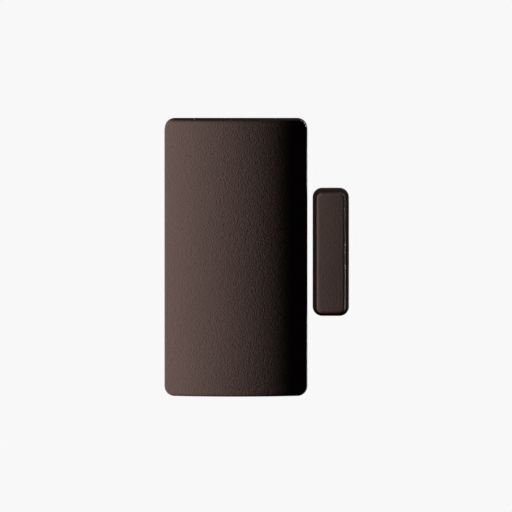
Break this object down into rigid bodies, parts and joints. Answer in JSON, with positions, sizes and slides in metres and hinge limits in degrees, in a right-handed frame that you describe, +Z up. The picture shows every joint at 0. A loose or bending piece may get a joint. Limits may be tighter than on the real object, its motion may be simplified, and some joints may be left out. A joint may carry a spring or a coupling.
{
  "type": "door contact sensor",
  "caption": "Wall-mounted door contact: a tall transmitter whose bowed cover swings off a board, cell and reed switch, beside a slim magnet unit that slides away and has a pull-off cap.",
  "frame": {"origin": "centre of the transmitter's flat back, which lies on the wall or door frame", "axes": "+X from the transmitter towards its magnet unit, +Y into the wall, +Z up along the long axis; the bowed front faces -Y"},
  "size_m": [0.0522, 0.024, 0.078],
  "materials": {
    "housing_plastic": "fine spark-eroded grain, dark brown ABS",
    "board_laminate": "green solder mask over glass-epoxy laminate",
    "tinned_wire": "bright tinned copper",
    "reed_alloy": "nickel-iron, ruthenium-tipped",
    "reed_glass": "clear greenish glass",
    "cell_steel": "nickel-plated steel",
    "cell_wrap": null,
    "cell_gasket": "fibre washer",
    "cell_core": "wound electrode strip with separator",
    "contact_spring_steel": "nickel-plated spring steel",
    "zinc_plated_steel": "zinc plate, machined slot",
    "black_moulding": "epoxy moulding compound",
    "button_plastic": "natural nylon",
    "terminal_plastic": "green polyamide",
    "nickel_can": "drawn nickel-plated can",
    "capacitor_aluminium": "drawn aluminium with a marked polarity segment",
    "resistor_body": "black glaze over alumina",
    "ceramic_body": "fired ceramic",
    "magnet_alloy": "cast and ground magnet alloy"
  },
  "bodies": {
    "housing": {"mounting_base": "housing_plastic", "circuit_board": "board_laminate", "antenna_wire": "tinned_wire", "battery_can": "cell_steel", "battery_core": "cell_core", "battery_sleeve": "cell_wrap", "battery_seal_ring": "cell_gasket", "battery_positive_cap": "cell_steel", "battery_clip_positive": "contact_spring_steel", "battery_clip_negative": "contact_spring_steel", "battery_spring": "contact_spring_steel", "reed_envelope": "reed_glass", "reed_lead_upper": "tinned_wire", "reed_lead_lower": "tinned_wire", "tamper_switch_body": "black_moulding", "tamper_pivot_pin": "zinc_plated_steel", "terminal_block": "terminal_plastic", "terminal_pins": "tinned_wire", "controller_chip": "black_moulding", "controller_leads": "tinned_wire", "resonator_can": "nickel_can", "crystal_can": "nickel_can", "capacitor_base": "black_moulding", "capacitor_can": "capacitor_aluminium", "chip_resistors": "resistor_body", "chip_capacitors": "ceramic_body", "chip_end_caps": "tinned_wire", "transistors": "black_moulding"},
    "cover": {"front_cover": "housing_plastic"},
    "tamper_lever": {"tamper_lever": "contact_spring_steel"},
    "tamper_button": {"tamper_button": "button_plastic"},
    "reed_blade": {"reed_blade": "reed_alloy"},
    "terminal_screw_left": {"terminal_screw_left": "zinc_plated_steel"},
    "terminal_clamp_left": {"terminal_clamp_left": "zinc_plated_steel"},
    "terminal_screw_right": {"terminal_screw_right": "zinc_plated_steel"},
    "terminal_clamp_right": {"terminal_clamp_right": "zinc_plated_steel"},
    "magnet_unit": {"magnet_base": "housing_plastic", "magnet_bar": "magnet_alloy"},
    "magnet_cap": {"magnet_cap": "housing_plastic"}
  },
  "joints": [
    {"name": "cover_swing", "type": "hinge", "parent": "housing", "child": "cover", "pos_m": [0, -0.0062, 0.039], "axis": [-1, 0, 0], "range_deg": [0, 70]},
    {"name": "tamper_lever_lift", "type": "hinge", "parent": "housing", "child": "tamper_lever", "pos_m": [0.0065, -0.0116, -0.0126], "axis": [1, 0, 0], "range_deg": [0, 12.5]},
    {"name": "tamper_button_travel", "type": "slide", "parent": "housing", "child": "tamper_button", "axis": [0, -1, 0], "range_m": [0, 0.00048]},
    {"name": "magnet_slide", "type": "slide", "parent": "housing", "child": "magnet_unit", "axis": [1, 0, 0], "range_m": [0, 0.06]},
    {"name": "reed_blade_flex", "type": "hinge", "parent": "housing", "child": "reed_blade", "pos_m": [0.01449, -0.0077, -0.00435], "axis": [0, -1, 0], "range_deg": [0, 1.1]},
    {"name": "magnet_cap_pull", "type": "slide", "parent": "magnet_unit", "child": "magnet_cap", "axis": [0, -1, 0], "range_m": [0, 0.02]},
    {"name": "terminal_clamp_left_rise", "type": "slide", "parent": "housing", "child": "terminal_clamp_left", "axis": [0, -1, 0], "range_m": [0, 0.0009]},
    {"name": "terminal_screw_left_turn", "type": "hinge", "parent": "housing", "child": "terminal_screw_left", "pos_m": [0.007, -0.0119, -0.0305], "axis": [0, 1, 0], "range_deg": [0, 721]},
    {"name": "terminal_clamp_right_rise", "type": "slide", "parent": "housing", "child": "terminal_clamp_right", "axis": [0, -1, 0], "range_m": [0, 0.0009]},
    {"name": "terminal_screw_right_turn", "type": "hinge", "parent": "housing", "child": "terminal_screw_right", "pos_m": [0.011, -0.0119, -0.0305], "axis": [0, 1, 0], "range_deg": [0, 721]}
  ],
  "couplings": [
    {"joint": "tamper_lever_lift", "follows": "cover_swing", "ratio": 0.17143},
    {"joint": "tamper_button_travel", "follows": "cover_swing", "m_per_rad": 0.00037652},
    {"joint": "reed_blade_flex", "follows": "magnet_slide", "rad_per_m": 0.29089},
    {"joint": "terminal_screw_left_turn", "follows": "terminal_clamp_left_rise", "rad_per_m": 13963},
    {"joint": "terminal_screw_right_turn", "follows": "terminal_clamp_right_rise", "rad_per_m": 13963}
  ]
}
